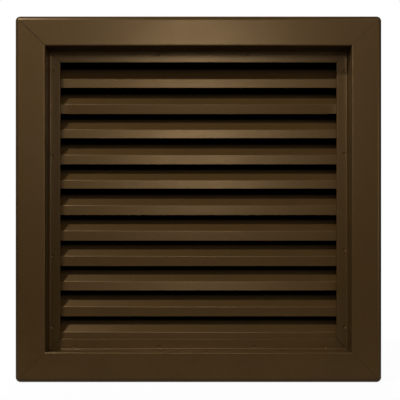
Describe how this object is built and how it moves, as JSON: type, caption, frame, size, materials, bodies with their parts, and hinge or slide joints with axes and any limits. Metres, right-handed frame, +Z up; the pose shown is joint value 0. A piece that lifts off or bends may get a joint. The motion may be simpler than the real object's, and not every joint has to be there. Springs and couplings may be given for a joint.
{
  "type": "door louver",
  "caption": "Square door louver: two mitred sheet-steel frames clamp a door's cut-out, with fixed inverted-Y blades in a channel core between them that pass air and block sight.",
  "frame": {"origin": "centre of the louver, in the middle of the door's thickness and of the cut-out", "axes": "+X to the right seen from the front, +Y from the front face to the rear face, +Z up"},
  "size_m": [0.3574, 0.0604, 0.3574],
  "materials": {
    "frame_enamel": "satin dark bronze baked enamel on folded steel sheet",
    "blade_enamel": "satin dark bronze baked enamel on folded steel sheet",
    "core_enamel": "satin dark bronze baked enamel on folded steel sheet",
    "screw_enamel": "dark bronze enamelled pan-head screws"
  },
  "bodies": {
    "root": {"front_head": "frame_enamel", "front_sill": "frame_enamel", "front_left_jamb": "frame_enamel", "front_right_jamb": "frame_enamel", "rear_head": "frame_enamel", "rear_sill": "frame_enamel", "rear_left_jamb": "frame_enamel", "rear_right_jamb": "frame_enamel", "core_head_channel": "core_enamel", "core_sill_channel": "core_enamel", "core_left_jamb_channel": "core_enamel", "core_right_jamb_channel": "core_enamel", "blade_01": "blade_enamel", "blade_02": "blade_enamel", "blade_03": "blade_enamel", "blade_04": "blade_enamel", "blade_05": "blade_enamel", "blade_06": "blade_enamel", "blade_07": "blade_enamel", "blade_08": "blade_enamel", "blade_09": "blade_enamel", "blade_10": "blade_enamel", "blade_11": "blade_enamel", "rear_frame_screws": "screw_enamel"}
  },
  "joints": []
}
